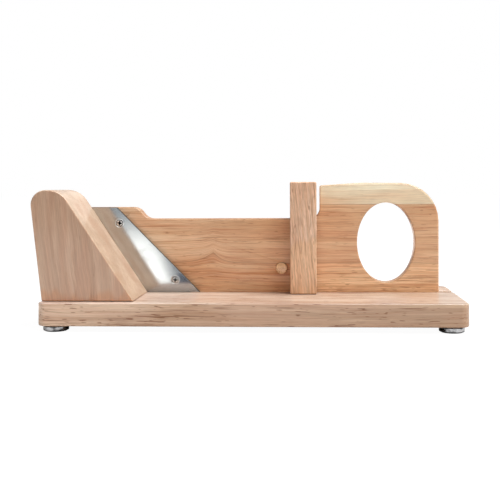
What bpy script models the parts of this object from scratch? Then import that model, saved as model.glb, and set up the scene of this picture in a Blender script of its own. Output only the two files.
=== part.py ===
"""Sausage guillotine: a wooden slider with a steel blade runs in a groove, through a gate.

Metres, +Z up. X runs along the base, Y from front to back. The origin is at the middle of the
whole part's footprint, on the surface that the feet stand on.
"""

import math

import bmesh
import bpy
from mathutils import Matrix, Vector

MM = 0.001

# Clearances
SEAT_GAP = 0.3 * MM
SLIDE_GAP = 0.5 * MM
CUT_MARGIN = 2.0 * MM

# Base board
BASE_LENGTH = 370.0 * MM
BASE_DEPTH = 130.0 * MM
BASE_THICKNESS = 20.0 * MM
BASE_CORNER_RADIUS = 8.0 * MM
BASE_EDGE_ROUND = 1.2 * MM

# Front block, which covers the blade's tail
BLOCK_INSET = 1.6 * MM
BLOCK_SETBACK = 9.5 * MM
BLOCK_DEPTH = 65.2 * MM
BLOCK_FOOT_LENGTH = 80.7 * MM
BLOCK_TOP_LENGTH = 27.7 * MM
BLOCK_HEIGHT = 96.8 * MM
BLOCK_LEAN = 10.8 * MM
BLOCK_CORNER_RADIUS = 13.0 * MM
BLOCK_BROW_RADIUS = 21.0 * MM
BLOCK_EDGE_ROUND = 1.0 * MM

# Blade, and the shim behind it that sets how thick a slice is
BLADE_THICKNESS = 1.5 * MM
BLADE_HEIGHT = 80.0 * MM
BLADE_FOOT_LENGTH = 107.5 * MM
BLADE_EDGE_RUN = 78.8 * MM
BLADE_REACH = 50.2 * MM
BLADE_BEVEL = 4.8 * MM
BLADE_LIFT = 0.4 * MM
SHIM_THICKNESS = 1.7 * MM
SHIM_EDGE_INSET = 5.2 * MM
SHIM_SIDE_INSET = 1.5 * MM

# Slider board with its grip
SLIDER_THICKNESS = 13.0 * MM
SLIDER_TAIL = 8.0 * MM
SLIDER_TAIL_RADIUS = 3.0 * MM
SLIDER_LEVEL_HEIGHT = 69.4 * MM
SLIDER_EDGE_ROUND = 1.2 * MM
HUMP_LAND = 13.4 * MM
HUMP_RUN = 19.5 * MM
SHOULDER_RADIUS = 9.5 * MM
SHOULDER_GAP = 3.1 * MM
GRIP_LENGTH = 111.2 * MM
GRIP_HEIGHT = 103.1 * MM
GRIP_CROWN_PLACE = 52.2 * MM
GRIP_CROWN_RADIUS = 505.0 * MM
GRIP_CORNER_RADIUS = 36.0 * MM
GRIP_HEEL_RADIUS = 2.0 * MM
GRIP_HOLE_PLACE = 62.0 * MM
GRIP_HOLE_CENTRE_HEIGHT = 46.7 * MM
GRIP_HOLE_HALF_WIDTH = 26.9 * MM
GRIP_HOLE_HALF_HEIGHT = 37.5 * MM

# Groove in the base that guides the slider
GROOVE_DEPTH = 5.0 * MM

# Gate that the slider runs through
GATE_PLACE = 217.2 * MM
GATE_WIDTH = 24.5 * MM
GATE_LEG_DEPTH = 14.3 * MM
GATE_HEIGHT = 103.7 * MM
GATE_HEADROOM = 4.0 * MM
GATE_EDGE_ROUND = 1.2 * MM

# Peg that keeps the slider's face off the gate's front leg
PEG_RADIUS = 5.25 * MM
PEG_CENTRE_HEIGHT = 22.6 * MM
PEG_GAP = 3.15 * MM
PEG_DEPTH_IN_WOOD = 8.0 * MM
PEG_CHAMFER = 0.6 * MM

# Countersunk blade screws
BLADE_SCREW_HEAD_RADIUS = 4.0 * MM
BLADE_SCREW_RADIUS = 1.9 * MM
BLADE_SCREW_LENGTH = 13.5 * MM
BLADE_SCREW_EDGE_INSET = 9.15 * MM
BLADE_SCREW_DROP = 15.0 * MM
BLADE_SCREW_RISE = 11.4 * MM

# Countersunk wood screws that come up through the base
WOOD_SCREW_HEAD_RADIUS = 4.4 * MM
WOOD_SCREW_RADIUS = 2.2 * MM
WOOD_SCREW_LENGTH = 45.0 * MM
BLOCK_SCREW_INSET = 22.0 * MM

# Feet: a steel cup, a rubber ring in it and a pan head screw through it
FOOT_RADIUS = 11.0 * MM
FOOT_HEIGHT = 5.2 * MM
FOOT_INSET = 13.5 * MM
CUP_WALL = 1.4 * MM
CUP_WEB = 1.5 * MM
CUP_RIM_RADIUS = 1.2 * MM
PAD_PROUD = 0.5 * MM
PAD_WIDTH = 4.0 * MM
FOOT_SCREW_RADIUS = 1.9 * MM
FOOT_SCREW_HEAD_RADIUS = 3.8 * MM
FOOT_SCREW_HEAD_HEIGHT = 1.9 * MM
FOOT_SCREW_LENGTH = 15.0 * MM

ARC_STEP = math.radians(12)
SCREW_STEPS = 16
FOOT_STEPS = 28
HOLE_STEPS = 56
ROUND_SEGMENTS = 2
SHARP_ANGLE = math.radians(50)

# Colour, roughness and metallic value of each kind of surface
BASE_WOOD = ((0.50, 0.31, 0.19), 0.5, 0.0)
BLOCK_WOOD = ((0.47, 0.30, 0.19), 0.55, 0.0)
SLIDER_WOOD = ((0.58, 0.35, 0.20), 0.5, 0.0)
GATE_WOOD = ((0.52, 0.33, 0.20), 0.55, 0.0)
DOWEL_WOOD = ((0.54, 0.33, 0.17), 0.5, 0.0)
POLISHED_STEEL = ((0.72, 0.73, 0.75), 0.12, 1.0)
PLAIN_STEEL = ((0.60, 0.61, 0.62), 0.3, 1.0)
RUBBER = ((0.03, 0.03, 0.03), 0.8, 0.0)


def block_corner_centre_x():
    """X of the rounded top left corner's centre, from the left foot of the block."""
    slant = math.hypot(BLOCK_LEAN, BLOCK_HEIGHT)
    height = BLOCK_HEIGHT - BLOCK_CORNER_RADIUS
    return (BLOCK_CORNER_RADIUS * slant - height * BLOCK_LEAN) / BLOCK_HEIGHT


# The block leans out past the base, and the origin is at the middle of the two together
BLOCK_OVERHANG = max(0.0, BLOCK_CORNER_RADIUS - block_corner_centre_x() - BLOCK_INSET)
LEFT = -BASE_LENGTH / 2 + BLOCK_OVERHANG / 2
FRONT = -BASE_DEPTH / 2
BASE_BOTTOM = FOOT_HEIGHT + SEAT_GAP
TOP = BASE_BOTTOM + BASE_THICKNESS

# Places along X
BLOCK_LEFT = LEFT + BLOCK_INSET
BLADE_TIP = BLOCK_LEFT + BLOCK_FOOT_LENGTH + BLADE_REACH
BLADE_LEFT = BLADE_TIP - BLADE_FOOT_LENGTH
BLADE_TOP_CORNER = BLADE_TIP - BLADE_EDGE_RUN
SLIDER_LEFT = BLADE_LEFT - SLIDER_TAIL
GATE_LEFT = LEFT + GATE_PLACE
SHOULDER = GATE_LEFT + GATE_WIDTH + SHOULDER_GAP
SLIDER_RIGHT = SHOULDER + GRIP_LENGTH
PEG_X = GATE_LEFT - PEG_GAP - PEG_RADIUS

# Places along Y
BLOCK_FRONT = FRONT + BLOCK_SETBACK
BLADE_FRONT = BLOCK_FRONT + BLOCK_DEPTH + SLIDE_GAP
SHIM_FRONT = BLADE_FRONT + BLADE_THICKNESS + SEAT_GAP
SLIDER_FRONT = SHIM_FRONT + SHIM_THICKNESS + SEAT_GAP
SLIDER_BACK = SLIDER_FRONT + SLIDER_THICKNESS
GATE_SLOT_FRONT = BLADE_FRONT - SLIDE_GAP
GATE_SLOT_BACK = SLIDER_BACK + SLIDE_GAP
GATE_FRONT = GATE_SLOT_FRONT - GATE_LEG_DEPTH
GATE_BACK = GATE_SLOT_BACK + GATE_LEG_DEPTH

# Places along Z
GROOVE_FLOOR = TOP - GROOVE_DEPTH
BLADE_BOTTOM = TOP + BLADE_LIFT
BLADE_TOP = BLADE_BOTTOM + BLADE_HEIGHT
GATE_SLOT_TOP = TOP + SLIDER_LEVEL_HEIGHT + GATE_HEADROOM


def clear_scene():
    for obj in list(bpy.data.objects):
        bpy.data.objects.remove(obj, do_unlink=True)


def finish(name, colour, roughness, metallic):
    """A Principled material."""
    material = bpy.data.materials.new(name)
    material.use_nodes = True
    shader = material.node_tree.nodes["Principled BSDF"]
    shader.inputs["Base Color"].default_value = (*colour, 1.0)
    shader.inputs["Roughness"].default_value = roughness
    shader.inputs["Metallic"].default_value = metallic
    return material


def make_object(name, bm, origin, look=None):
    """Turns a bmesh into an object with its origin at the given place, and smooths its curves."""
    bmesh.ops.translate(bm, verts=bm.verts[:], vec=-Vector(origin))
    bmesh.ops.recalc_face_normals(bm, faces=bm.faces[:])
    mesh = bpy.data.meshes.new(name)
    bm.to_mesh(mesh)
    bm.free()
    mesh.shade_smooth()
    mesh.set_sharp_from_angle(angle=SHARP_ANGLE / 2)
    if look:
        mesh.materials.append(finish(name + "_finish", *look))
    obj = bpy.data.objects.new(name, mesh)
    obj.location = origin
    bpy.context.scene.collection.objects.link(obj)
    return obj


def cut(targets, cutter):
    """Takes a cutter's shape away from each target, and leaves it out of the picture."""
    cutter.hide_render = True
    cutter.display_type = "WIRE"
    for target in targets:
        modifier = target.modifiers.new("Cut " + cutter.name, "BOOLEAN")
        modifier.operation = "DIFFERENCE"
        modifier.object = cutter


def carry(carrier, riders):
    """Hangs objects on an unturned carrier and leaves them where they are."""
    for rider in riders:
        rider.parent = carrier
        rider.location -= carrier.location


def round_edges(obj, width):
    """Rounds every edge that is sharp so far over by the given width."""
    modifier = obj.modifiers.new("Rounded edges", "BEVEL")
    modifier.width = width
    modifier.segments = ROUND_SEGMENTS
    modifier.limit_method = "ANGLE"
    modifier.angle_limit = SHARP_ANGLE
    modifier.use_clamp_overlap = True


def arc(centre_a, centre_b, radius, start, end):
    """Points on an arc about a centre, from one angle to another, ends included."""
    steps = max(2, math.ceil(abs(end - start) / ARC_STEP))
    angles = [start + (end - start) * i / steps for i in range(steps + 1)]
    return [(centre_a + radius * math.cos(t), centre_b + radius * math.sin(t)) for t in angles]


def rounded_corner(before, corner, after, radius):
    """The arc that rounds a convex or hollow corner between two straight sides."""
    corner = Vector(corner)
    back = (Vector(before) - corner).normalized()
    ahead = (Vector(after) - corner).normalized()
    half = back.angle(ahead) / 2
    centre = corner + (back + ahead).normalized() * radius / math.sin(half)
    start = corner + back * radius / math.tan(half) - centre
    end = corner + ahead * radius / math.tan(half) - centre
    first = math.atan2(start.y, start.x)
    turn = (math.atan2(end.y, end.x) - first + math.pi) % (2 * math.pi) - math.pi
    return arc(centre.x, centre.y, radius, first, first + turn)


def prism(outline, axis, low, high):
    """A solid with the given outline, drawn out along an axis from low to high."""
    place = {
        "X": lambda a, b: Vector((low, a, b)),
        "Y": lambda a, b: Vector((a, low, b)),
        "Z": lambda a, b: Vector((a, b, low)),
    }[axis]
    along = {"X": Vector((1, 0, 0)), "Y": Vector((0, 1, 0)), "Z": Vector((0, 0, 1))}[axis]
    bm = bmesh.new()
    face = bm.faces.new([bm.verts.new(place(a, b)) for a, b in outline])
    drawn = bmesh.ops.extrude_face_region(bm, geom=[face])
    moved = [item for item in drawn["geom"] if isinstance(item, bmesh.types.BMVert)]
    bmesh.ops.translate(bm, verts=moved, vec=along * (high - low))
    return bm


def box(low, high):
    """A plain block between two corners."""
    bm = bmesh.new()
    size = Vector(high) - Vector(low)
    centre = (Vector(high) + Vector(low)) / 2
    matrix = Matrix.Translation(centre) @ Matrix.Diagonal((*size, 1.0))
    bmesh.ops.create_cube(bm, size=1.0, matrix=matrix)
    return bm


def turned(profile, foot, along, steps):
    """A shape turned about an axis: (radius, distance along the axis) pairs, closed on the axis."""
    bm = bmesh.new()
    points = [bm.verts.new((radius, 0.0, height)) for radius, height in profile]
    edges = [bm.edges.new(pair) for pair in zip(points, points[1:])]
    if profile[0][0] > 0 or profile[-1][0] > 0:
        edges.append(bm.edges.new((points[-1], points[0])))
    bmesh.ops.spin(
        bm,
        geom=points + edges,
        cent=(0, 0, 0),
        axis=(0, 0, 1),
        angle=2 * math.pi,
        steps=steps,
        use_merge=True,
    )
    bmesh.ops.remove_doubles(bm, verts=bm.verts[:], dist=0.001 * MM)
    turn = Vector(along).to_track_quat("Z", "Y").to_matrix().to_4x4()
    bmesh.ops.transform(bm, matrix=Matrix.Translation(foot) @ turn, verts=bm.verts[:])
    return bm


def countersunk_profile(head_radius, radius, length, clearance=0.0):
    """A countersunk screw from its flat head to its point, or the larger hole that it sits in."""
    head = head_radius + clearance
    shank = radius + clearance
    over = CUT_MARGIN if clearance else 0.0
    cone = head_radius - radius
    rim = [(head, -over)] if clearance else []
    return [
        (0.0, -over),
        *rim,
        (head, clearance),
        (shank, cone + clearance),
        (shank, length - radius + clearance),
        (0.0, length + clearance),
    ]


def countersunk_screw(name, foot, along, head_radius, radius, length, targets):
    """A countersunk screw, and its hole in each piece that it passes through."""
    profile = countersunk_profile(head_radius, radius, length)
    screw = make_object(name, turned(profile, foot, along, SCREW_STEPS), foot, PLAIN_STEEL)
    profile = countersunk_profile(head_radius, radius, length, SEAT_GAP)
    hole = make_object(name + "_hole", turned(profile, foot, along, SCREW_STEPS), foot)
    cut(targets, hole)
    return [screw, hole]


def base_board():
    """The board, with the groove that guides the slider."""
    right, back = LEFT + BASE_LENGTH, FRONT + BASE_DEPTH
    corners = [(LEFT, FRONT), (right, FRONT), (right, back), (LEFT, back)]
    outline = []
    for i, corner in enumerate(corners):
        ahead = corners[(i + 1) % len(corners)]
        outline += rounded_corner(corners[i - 1], corner, ahead, BASE_CORNER_RADIUS)
    centre = ((LEFT + right) / 2, (FRONT + back) / 2, BASE_BOTTOM)
    board = make_object("base_board", prism(outline, "Z", BASE_BOTTOM, TOP), centre, BASE_WOOD)
    round_edges(board, BASE_EDGE_ROUND)
    low = (LEFT - CUT_MARGIN, SLIDER_FRONT - SLIDE_GAP, GROOVE_FLOOR)
    high = (right + CUT_MARGIN, SLIDER_BACK + SLIDE_GAP, TOP + CUT_MARGIN)
    cut([board], make_object("groove", box(low, high), low))
    return board


def front_block():
    """The tall block with a leaning back, a rounded top and a long slope towards the blade."""
    foot_right = BLOCK_LEFT + BLOCK_FOOT_LENGTH
    top_left = BLOCK_LEFT - BLOCK_LEAN
    bottom, top = TOP + SEAT_GAP, TOP + SEAT_GAP + BLOCK_HEIGHT
    corners = [(BLOCK_LEFT, bottom), (foot_right, bottom)]
    crown = [(top_left + BLOCK_TOP_LENGTH, top), (top_left, top)]
    outline = [
        *corners,
        *rounded_corner(corners[1], crown[0], crown[1], BLOCK_BROW_RADIUS),
        *rounded_corner(crown[0], crown[1], corners[0], BLOCK_CORNER_RADIUS),
    ]
    solid = prism(outline, "Y", BLOCK_FRONT, BLOCK_FRONT + BLOCK_DEPTH)
    corner = (BLOCK_LEFT, BLOCK_FRONT, bottom)
    block = make_object("front_block", solid, corner, BLOCK_WOOD)
    round_edges(block, BLOCK_EDGE_ROUND)
    return block


def grip_outline():
    """The crowned top, the large corner and the right side of the grip, from right to left."""
    crown_x = SHOULDER + GRIP_CROWN_PLACE
    crown_z = TOP + GRIP_HEIGHT - GRIP_CROWN_RADIUS
    corner_x = SLIDER_RIGHT - GRIP_CORNER_RADIUS
    inner = GRIP_CROWN_RADIUS - GRIP_CORNER_RADIUS
    tilt = math.asin((corner_x - crown_x) / inner)
    corner_z = crown_z + inner * math.cos(tilt)
    meet = math.pi / 2 - tilt
    heel = math.pi / 2 + math.asin((crown_x - SHOULDER) / GRIP_CROWN_RADIUS)
    crown = arc(crown_x, crown_z, GRIP_CROWN_RADIUS, meet, heel)
    corner = arc(corner_x, corner_z, GRIP_CORNER_RADIUS, 0.0, meet)
    top = rounded_corner(crown[-2], crown[-1], (SHOULDER, TOP), GRIP_HEEL_RADIUS)
    return corner[:-1] + crown[:-1] + top


def slider_board():
    """The board that carries the blade: hump, level back, shoulder and grip."""
    level = TOP + SLIDER_LEVEL_HEIGHT
    bottom = GROOVE_FLOOR + SEAT_GAP
    drop = BLADE_TOP - level
    radius = (HUMP_RUN**2 + drop**2) / (4 * drop)
    turn = 2 * math.atan(drop / HUMP_RUN)
    land_end = BLADE_TOP_CORNER + HUMP_LAND
    level_start = land_end + HUMP_RUN
    half_turn = math.pi / 2
    hollow = arc(level_start, level + radius, radius, -half_turn, -half_turn - turn)
    rise = arc(land_end, BLADE_TOP - radius, radius, half_turn - turn, half_turn)
    tail_top = [(land_end, BLADE_TOP), (SLIDER_LEFT, BLADE_TOP), (SLIDER_LEFT, bottom)]
    outline = [
        (SLIDER_LEFT, bottom),
        (SLIDER_RIGHT, bottom),
        *grip_outline(),
        *rounded_corner((SHOULDER, BLADE_TOP), (SHOULDER, level), (level_start, level), SHOULDER_RADIUS),
        *hollow[:-1],
        *rise,
        *rounded_corner(*tail_top, SLIDER_TAIL_RADIUS),
    ]
    depth = (SLIDER_FRONT, SLIDER_BACK)
    foot = (SHOULDER, sum(depth) / 2, bottom)
    board = make_object("slider_board", prism(outline, "Y", *depth), foot, SLIDER_WOOD)

    hole = bmesh.new()
    centre = (SHOULDER + GRIP_HOLE_PLACE, sum(depth) / 2, TOP + GRIP_HOLE_CENTRE_HEIGHT)
    matrix = Matrix.Translation(centre)
    matrix @= Matrix.Diagonal((GRIP_HOLE_HALF_WIDTH, 1.0, GRIP_HOLE_HALF_HEIGHT, 1.0))
    matrix @= Matrix.Rotation(math.pi / 2, 4, "X")
    bmesh.ops.create_cone(
        hole,
        cap_ends=True,
        segments=HOLE_STEPS,
        radius1=1.0,
        radius2=1.0,
        depth=SLIDER_THICKNESS + 2 * CUT_MARGIN,
        matrix=matrix,
    )
    cutter = make_object("grip_hole", hole, centre)
    cut([board], cutter)
    round_edges(board, SLIDER_EDGE_ROUND)
    return [board, cutter]


def gate_post():
    """The post with a slot, which straddles the slider and stops it at both ends of its way."""
    bottom, top = TOP + SEAT_GAP, TOP + GATE_HEIGHT
    outline = [
        (GATE_FRONT, bottom),
        (GATE_SLOT_FRONT, bottom),
        (GATE_SLOT_FRONT, GATE_SLOT_TOP),
        (GATE_SLOT_BACK, GATE_SLOT_TOP),
        (GATE_SLOT_BACK, bottom),
        (GATE_BACK, bottom),
        (GATE_BACK, top),
        (GATE_FRONT, top),
    ]
    solid = prism(outline, "X", GATE_LEFT, GATE_LEFT + GATE_WIDTH)
    gate = make_object("gate_post", solid, (GATE_LEFT, GATE_FRONT, bottom), GATE_WOOD)
    round_edges(gate, GATE_EDGE_ROUND)
    return gate


def edge_offset(inset):
    """How far a line at the given distance behind the cutting edge lies along X from it."""
    return inset * math.hypot(BLADE_EDGE_RUN, BLADE_HEIGHT) / BLADE_HEIGHT


def blade():
    """The steel plate, ground on its back to an edge along its slanted side."""
    outline = [
        (BLADE_LEFT, BLADE_BOTTOM),
        (BLADE_TIP, BLADE_BOTTOM),
        (BLADE_TOP_CORNER, BLADE_TOP),
        (BLADE_LEFT, BLADE_TOP),
    ]
    bm = prism(outline, "Y", BLADE_FRONT, BLADE_FRONT + BLADE_THICKNESS)
    bm.verts.ensure_lookup_table()
    for vert in bm.verts:
        at_back = vert.co.y > BLADE_FRONT + BLADE_THICKNESS / 2
        slope_x = BLADE_TIP - (vert.co.z - BLADE_BOTTOM) * BLADE_EDGE_RUN / BLADE_HEIGHT
        if at_back and abs(vert.co.x - slope_x) < SEAT_GAP:
            vert.co.x -= edge_offset(BLADE_BEVEL)
    return make_object("blade", bm, (BLADE_TIP, BLADE_FRONT, BLADE_BOTTOM), POLISHED_STEEL)


def blade_shim():
    """The plate between the blade and the slider, short of the cutting edge."""
    run = BLADE_EDGE_RUN / BLADE_HEIGHT
    low, high = BLADE_BOTTOM + SHIM_SIDE_INSET, BLADE_TOP - SHIM_SIDE_INSET
    shift = edge_offset(SHIM_EDGE_INSET)
    left = BLADE_LEFT + SHIM_SIDE_INSET
    outline = [
        (left, low),
        (BLADE_TIP - shift - (low - BLADE_BOTTOM) * run, low),
        (BLADE_TIP - shift - (high - BLADE_BOTTOM) * run, high),
        (left, high),
    ]
    solid = prism(outline, "Y", SHIM_FRONT, SHIM_FRONT + SHIM_THICKNESS)
    return make_object("blade_shim", solid, (left, SHIM_FRONT, low), PLAIN_STEEL)


def guide_peg(board):
    """The dowel in the slider, level with the blade's face, and its blind hole."""
    reach = SLIDER_FRONT - BLADE_FRONT + PEG_DEPTH_IN_WOOD
    foot = (PEG_X, BLADE_FRONT, TOP + PEG_CENTRE_HEIGHT)
    profile = [
        (0.0, 0.0),
        (PEG_RADIUS - PEG_CHAMFER, 0.0),
        (PEG_RADIUS, PEG_CHAMFER),
        (PEG_RADIUS, reach),
        (0.0, reach),
    ]
    along = (0, 1, 0)
    peg = make_object("guide_peg", turned(profile, foot, along, FOOT_STEPS), foot, DOWEL_WOOD)
    wide = PEG_RADIUS + SEAT_GAP
    profile = [(0.0, 0.0), (wide, 0.0), (wide, reach + SEAT_GAP), (0.0, reach + SEAT_GAP)]
    hole = make_object("guide_peg_hole", turned(profile, foot, along, FOOT_STEPS), foot)
    cut([board], hole)
    return [peg, hole]


def blade_screws(plate, shim, board):
    """Two screws beside the cutting edge, one near its top and one near its foot."""
    made = []
    heights = {"upper": BLADE_TOP - BLADE_SCREW_DROP, "lower": BLADE_BOTTOM + BLADE_SCREW_RISE}
    for level, height in heights.items():
        edge_x = BLADE_TIP - (height - BLADE_BOTTOM) * BLADE_EDGE_RUN / BLADE_HEIGHT
        made += countersunk_screw(
            f"blade_screw_{level}",
            (edge_x - edge_offset(BLADE_SCREW_EDGE_INSET), BLADE_FRONT, height),
            (0, 1, 0),
            BLADE_SCREW_HEAD_RADIUS,
            BLADE_SCREW_RADIUS,
            BLADE_SCREW_LENGTH,
            [plate, shim, board],
        )
    return made


def wood_screws(base, block, gate):
    """The screws that hold the block and the gate, driven up through the base."""
    block_y = BLOCK_FRONT + BLOCK_DEPTH / 2
    gate_x = GATE_LEFT + GATE_WIDTH / 2
    block_right = BLOCK_LEFT + BLOCK_FOOT_LENGTH
    places = {
        "block_screw_left": (BLOCK_LEFT + BLOCK_SCREW_INSET, block_y, block),
        "block_screw_right": (block_right - BLOCK_SCREW_INSET, block_y, block),
        "gate_screw_front": (gate_x, GATE_FRONT + GATE_LEG_DEPTH / 2, gate),
        "gate_screw_back": (gate_x, GATE_BACK - GATE_LEG_DEPTH / 2, gate),
    }
    for name, (x, y, held) in places.items():
        countersunk_screw(
            name,
            (x, y, BASE_BOTTOM),
            (0, 0, 1),
            WOOD_SCREW_HEAD_RADIUS,
            WOOD_SCREW_RADIUS,
            WOOD_SCREW_LENGTH,
            [base, held],
        )


def foot(name, x, y, base):
    """A steel cup under the base, its rubber ring and its screw."""
    web = FOOT_HEIGHT - CUP_WEB
    bore = FOOT_SCREW_RADIUS + SEAT_GAP
    inner = FOOT_RADIUS - CUP_WALL
    cup = [
        (bore, FOOT_HEIGHT),
        (bore, web),
        (inner, web),
        (inner, PAD_PROUD),
        *arc(
            FOOT_RADIUS - CUP_RIM_RADIUS,
            PAD_PROUD + CUP_RIM_RADIUS,
            CUP_RIM_RADIUS,
            -math.pi / 2,
            -math.pi / 4,
        ),
        (FOOT_RADIUS, PAD_PROUD + CUP_RIM_RADIUS),
        (FOOT_RADIUS, FOOT_HEIGHT),
    ]
    ground = (x, y, 0.0)
    up = (0, 0, 1)
    make_object(f"foot_cup_{name}", turned(cup, ground, up, FOOT_STEPS), ground, POLISHED_STEEL)

    outside = inner - SEAT_GAP
    inside = outside - PAD_WIDTH
    high = web - SEAT_GAP
    ring = [(inside, 0.0), (outside, 0.0), (outside, high), (inside, high)]
    make_object(f"foot_pad_{name}", turned(ring, ground, up, FOOT_STEPS), ground, RUBBER)

    head = high - FOOT_SCREW_HEAD_HEIGHT
    tip = high + FOOT_SCREW_LENGTH
    screw = [
        (0.0, head),
        (FOOT_SCREW_HEAD_RADIUS * 0.75, head),
        (FOOT_SCREW_HEAD_RADIUS, head + FOOT_SCREW_HEAD_HEIGHT / 2),
        (FOOT_SCREW_HEAD_RADIUS, high),
        (FOOT_SCREW_RADIUS, high),
        (FOOT_SCREW_RADIUS, tip - FOOT_SCREW_RADIUS),
        (0.0, tip),
    ]
    make_object(f"foot_screw_{name}", turned(screw, ground, up, SCREW_STEPS), ground, PLAIN_STEEL)
    wide = FOOT_SCREW_RADIUS + SEAT_GAP
    bore_profile = [
        (0.0, FOOT_HEIGHT),
        (wide, FOOT_HEIGHT),
        (wide, tip - FOOT_SCREW_RADIUS + SEAT_GAP),
        (0.0, tip + SEAT_GAP),
    ]
    drilled = turned(bore_profile, ground, up, SCREW_STEPS)
    cut([base], make_object(f"foot_screw_{name}_hole", drilled, ground))


def carriage():
    """The empty that the slider and all it carries hang on, in the middle of the groove."""
    empty = bpy.data.objects.new("carriage", None)
    empty.location = (SHOULDER, (SLIDER_FRONT + SLIDER_BACK) / 2, GROOVE_FLOOR)
    bpy.context.scene.collection.objects.link(empty)
    return empty


def main():
    clear_scene()
    base = base_board()
    block = front_block()
    gate = gate_post()
    wood_screws(base, block, gate)
    right, back = LEFT + BASE_LENGTH - FOOT_INSET, FRONT + BASE_DEPTH - FOOT_INSET
    for side, x in (("left", LEFT + FOOT_INSET), ("right", right)):
        for end, y in (("front", FRONT + FOOT_INSET), ("back", back)):
            foot(f"{end}_{side}", x, y, base)

    board, grip_hole = slider_board()
    plate = blade()
    shim = blade_shim()
    screws = blade_screws(plate, shim, board)
    carry(carriage(), [board, grip_hole, plate, shim, *screws, *guide_peg(board)])


main()
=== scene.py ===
"""Looks of a wooden sausage guillotine: its finishes, fine pieces, stage, light and camera.

Lengths are in metres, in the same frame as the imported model, unless a name says millimetres.
"""

import logging
import math
from collections.abc import Callable, Sequence
from dataclasses import dataclass, replace
from enum import Enum

import bmesh
import bpy
from mathutils import Matrix, Vector


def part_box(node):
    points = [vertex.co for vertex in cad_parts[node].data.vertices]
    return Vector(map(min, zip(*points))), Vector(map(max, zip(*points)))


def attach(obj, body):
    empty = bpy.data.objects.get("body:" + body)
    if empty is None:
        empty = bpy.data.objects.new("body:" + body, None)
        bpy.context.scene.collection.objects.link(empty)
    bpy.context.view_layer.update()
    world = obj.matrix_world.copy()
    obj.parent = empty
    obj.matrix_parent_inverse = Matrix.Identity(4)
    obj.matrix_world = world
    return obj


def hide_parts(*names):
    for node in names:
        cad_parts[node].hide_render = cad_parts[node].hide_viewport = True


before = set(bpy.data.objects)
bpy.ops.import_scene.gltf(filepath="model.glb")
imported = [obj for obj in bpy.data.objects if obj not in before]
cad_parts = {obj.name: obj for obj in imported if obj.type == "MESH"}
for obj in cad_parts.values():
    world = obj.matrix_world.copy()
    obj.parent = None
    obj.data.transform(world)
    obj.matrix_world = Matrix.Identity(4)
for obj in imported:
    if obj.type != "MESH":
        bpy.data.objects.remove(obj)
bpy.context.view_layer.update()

MM = 0.001
TINT_SPAN = 400.0

# The stored value that says how far a corner of a face looks up, from -1 to 1, which places the
# wood's painted light and shade on faces that look up
RISE = "rise"

log = logging.getLogger("guillotine")

Pair = tuple[float, float]
Triple = tuple[float, float, float]
Colour = Triple
Stops = Sequence[tuple[float, Colour]]
Value = float | Sequence[float] | str | bool
Piece = bpy.types.Object
Look = bpy.types.Material


def from_hex(text: str) -> Colour:
    """Turns a display colour such as "c8a07a" into linear red, green and blue.

    Args:
        text: Six hexadecimal digits.

    Returns:
        The linear colour.
    """
    parts = [int(text[i : i + 2], 16) / 255 for i in (0, 2, 4)]
    linear = [c / 12.92 if c <= 0.04045 else ((c + 0.055) / 1.055) ** 2.4 for c in parts]
    return (linear[0], linear[1], linear[2])


class Sock:
    """An output of a shader graph. Arithmetic on it adds Math nodes."""

    def __init__(self, graph: "Graph", link: bpy.types.NodeSocket) -> None:
        """Keeps the graph and the socket that it stands for."""
        self.graph = graph
        self.link = link

    def __add__(self, other: "Level") -> "Sock":
        """self + other"""
        return self.graph.math("ADD", self, other)

    __radd__ = __add__

    def __sub__(self, other: "Level") -> "Sock":
        """self - other"""
        return self.graph.math("SUBTRACT", self, other)

    def __rsub__(self, other: float) -> "Sock":
        """other - self"""
        return self.graph.math("SUBTRACT", other, self)

    def __mul__(self, other: "Level") -> "Sock":
        """self * other"""
        return self.graph.math("MULTIPLY", self, other)

    __rmul__ = __mul__

    def __truediv__(self, other: "Level") -> "Sock":
        """self / other"""
        return self.graph.math("DIVIDE", self, other)

    def __pow__(self, other: "Level") -> "Sock":
        """self to the power of other"""
        return self.graph.math("POWER", self, other)

    def __gt__(self, other: "Level") -> "Sock":
        """1 where self is over other, else 0"""
        return self.graph.math("GREATER_THAN", self, other)

    def __abs__(self) -> "Sock":
        """The size of self"""
        return self.graph.math("ABSOLUTE", self)

    def between(self, low: float, high: float) -> "Sock":
        """A soft step on this value.

        Args:
            low: Where it is 0.
            high: Where it is 1. It falls where this is the smaller.

        Returns:
            The step, from 0 to 1.
        """
        inputs = {"Value": self, "From Min": low, "From Max": high}
        return self.graph.node("MapRange", inputs, interpolation_type="SMOOTHSTEP")


Level = Sock | float


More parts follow.
